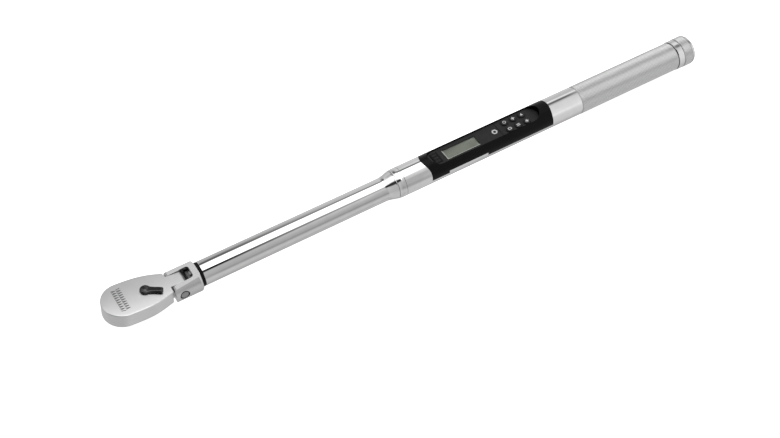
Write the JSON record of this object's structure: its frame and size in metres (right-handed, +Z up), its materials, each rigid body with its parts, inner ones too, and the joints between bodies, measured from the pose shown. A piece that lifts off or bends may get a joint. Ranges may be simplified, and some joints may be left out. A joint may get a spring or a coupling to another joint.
{
  "type": "torque wrench",
  "caption": "Flex-head electronic torque wrench: ratchet head with square drive, chrome tube, display housing with buttons, knurled grip and battery cap.",
  "frame": {"origin": "centre of the square drive's end face, with the head flexed up by one detent step and the wrench lying level", "axes": "+X along the tube from the drive towards the battery cap, +Z up out of the lever and display side, +Y completes a right-handed set"},
  "size_m": [0.7039, 0.0422, 0.0341],
  "materials": {
    "chrome": "polished chrome plate",
    "satin_chrome": "satin chrome plate on a forging",
    "knurled_chrome": "fine knurl, chrome plated",
    "gunmetal": "dark satin",
    "steel": "machined",
    "spring_steel": "drawn wire and ground balls",
    "brass": "stamped",
    "black_plastic": "satin moulded",
    "panel_plastic": "fine texture",
    "black_rubber": "matt",
    "button_rubber": "matt with printed symbols",
    "lcd": "unlit liquid crystal display",
    "clear_window": "clear",
    "smoked_lens": "smoked",
    "circuit_board": "solder mask",
    "battery_wrap": "plain shrink sleeve",
    "cable_jacket": "satin",
    "sleeve_plastic": "moulded",
    "gauge_foil": "foil on film"
  },
  "bodies": {
    "handle": {"yoke_beam": "satin_chrome", "flex_pin": "steel", "detent_spring": "spring_steel", "strain_gauge_top": "gauge_foil", "strain_gauge_bottom": "gauge_foil", "gauge_cable": "cable_jacket", "seal_ring": "black_rubber", "tube": "chrome", "beam_pin": "steel", "handle_tube": "chrome", "display_housing": "black_plastic", "housing_screw_1": "steel", "housing_screw_2": "steel", "display_bezel": "panel_plastic", "lcd_window": "clear_window", "lcd_module": "lcd", "led_lens": "smoked_lens", "keypad_plate": "panel_plastic", "keypad_mat": "black_rubber", "main_board": "circuit_board", "board_screw_1": "steel", "board_screw_2": "steel", "processor_chip": "black_rubber", "buzzer": "sleeve_plastic", "battery_sleeve": "sleeve_plastic", "contact_board": "circuit_board", "front_contact": "brass", "front_cell": "battery_wrap", "rear_cell": "battery_wrap", "battery_cable": "cable_jacket"},
    "head": {"head_housing": "satin_chrome", "head_cover": "satin_chrome", "cover_screw_1": "steel", "cover_screw_2": "steel", "cover_screw_3": "steel", "pawl_pin": "steel"},
    "drive": {"drive_gear": "steel", "drive_ball_spring": "spring_steel"},
    "retaining_ball": {"drive_ball": "spring_steel"},
    "pawl": {"pawl": "steel"},
    "lever": {"reversing_lever": "gunmetal", "lever_ball": "spring_steel", "lever_spring": "spring_steel"},
    "detent": {"flex_detent": "steel"},
    "power_key": {"power_button": "button_rubber"},
    "plus_key": {"plus_button": "button_rubber"},
    "light_key": {"light_button": "button_rubber"},
    "mode_key": {"mode_button": "button_rubber"},
    "minus_key": {"minus_button": "button_rubber"},
    "memory_key": {"memory_button": "button_rubber"},
    "cap_seal": {"cap_oring": "black_rubber"},
    "cap": {"battery_cap": "knurled_chrome", "cap_spring": "spring_steel"}
  },
  "joints": [
    {"name": "head_flex", "type": "hinge", "parent": "handle", "child": "head", "pos_m": [0.05919, 0, 0.01598], "axis": [0, 1, 0], "range_deg": [-19.5, 6.5]},
    {"name": "drive_spin", "type": "hinge", "parent": "head", "child": "drive", "pos_m": [0.00256, 0, 0.02243], "axis": [0.1132, 0, 0.9936], "continuous": true},
    {"name": "ball_press", "type": "slide", "parent": "drive", "child": "retaining_ball", "axis": [0, 1, 0], "range_m": [0, 0.00085], "stiffness_N_per_m": 800},
    {"name": "lever_flip", "type": "hinge", "parent": "head", "child": "lever", "pos_m": [0.02632, 0, 0.02868], "axis": [0.1132, 0, 0.9936], "range_deg": [0, 60]},
    {"name": "pawl_rock", "type": "hinge", "parent": "head", "child": "pawl", "pos_m": [0.01756, 0, 0.02072], "axis": [0.1132, 0, 0.9936], "range_deg": [-10, 0]},
    {"name": "detent_press", "type": "slide", "parent": "handle", "child": "detent", "axis": [1, 0, 0], "range_m": [0, 0.001], "stiffness_N_per_m": 1500},
    {"name": "power_press", "type": "slide", "parent": "handle", "child": "power_key", "axis": [0, 0, -1], "range_m": [0, 0.0008], "stiffness_N_per_m": 800},
    {"name": "plus_press", "type": "slide", "parent": "handle", "child": "plus_key", "axis": [0, 0, -1], "range_m": [0, 0.0008], "stiffness_N_per_m": 800},
    {"name": "light_press", "type": "slide", "parent": "handle", "child": "light_key", "axis": [0, 0, -1], "range_m": [0, 0.0008], "stiffness_N_per_m": 800},
    {"name": "mode_press", "type": "slide", "parent": "handle", "child": "mode_key", "axis": [0, 0, -1], "range_m": [0, 0.0008], "stiffness_N_per_m": 800},
    {"name": "minus_press", "type": "slide", "parent": "handle", "child": "minus_key", "axis": [0, 0, -1], "range_m": [0, 0.0008], "stiffness_N_per_m": 800},
    {"name": "memory_press", "type": "slide", "parent": "handle", "child": "memory_key", "axis": [0, 0, -1], "range_m": [0, 0.0008], "stiffness_N_per_m": 800},
    {"name": "cap_travel", "type": "slide", "parent": "handle", "child": "cap_seal", "axis": [1, 0, 0], "range_m": [0, 0.01]},
    {"name": "cap_turn", "type": "hinge", "parent": "cap_seal", "child": "cap", "pos_m": [0.66139, 0, 0.01598], "axis": [1, 0, 0], "range_deg": [0, 1441]}
  ],
  "couplings": [
    {"joint": "pawl_rock", "follows": "lever_flip", "ratio": -0.16667},
    {"joint": "cap_turn", "follows": "cap_travel", "rad_per_m": 2513.3}
  ]
}
